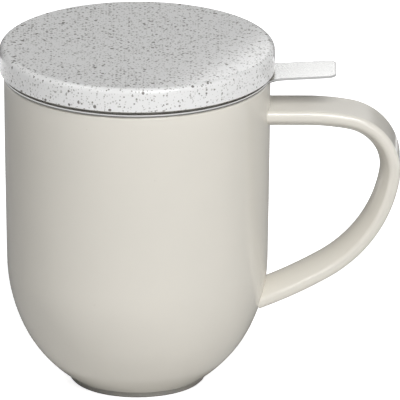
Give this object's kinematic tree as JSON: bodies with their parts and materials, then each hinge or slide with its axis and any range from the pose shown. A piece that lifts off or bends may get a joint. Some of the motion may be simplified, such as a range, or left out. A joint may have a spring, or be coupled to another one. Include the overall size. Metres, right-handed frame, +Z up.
{
  "type": "lidded tea mug with infuser",
  "caption": "Ceramic mug with a strap handle, a lift-out slotted steel infuser basket hung on its rim by a flange with a thumb tab, and a flat loose lid on top.",
  "frame": {"origin": "centre of the foot ring, on the surface that the mug stands on", "axes": "+Z up along the mug's axis, +X from the axis towards the handle and the infuser's thumb tab"},
  "size_m": [0.1325, 0.091, 0.116],
  "materials": {
    "mug_glaze": "glossy off-white glaze",
    "infuser_steel": "satin stainless steel",
    "lid_stoneware": "satin pale grey stoneware with fine dark specks"
  },
  "bodies": {
    "mug": {"mug_body": "mug_glaze", "mug_handle": "mug_glaze"},
    "infuser": {"infuser_rim": "infuser_steel", "basket_wall": "infuser_steel", "basket_floor": "infuser_steel"},
    "lid": {"lid": "lid_stoneware"}
  },
  "joints": [
    {"name": "infuser_lift", "type": "slide", "parent": "mug", "child": "infuser", "axis": [0, 0, 1], "range_m": [0, 0.1]},
    {"name": "lid_lift", "type": "slide", "parent": "infuser", "child": "lid", "axis": [0, 0, 1], "range_m": [0, 0.06]}
  ]
}
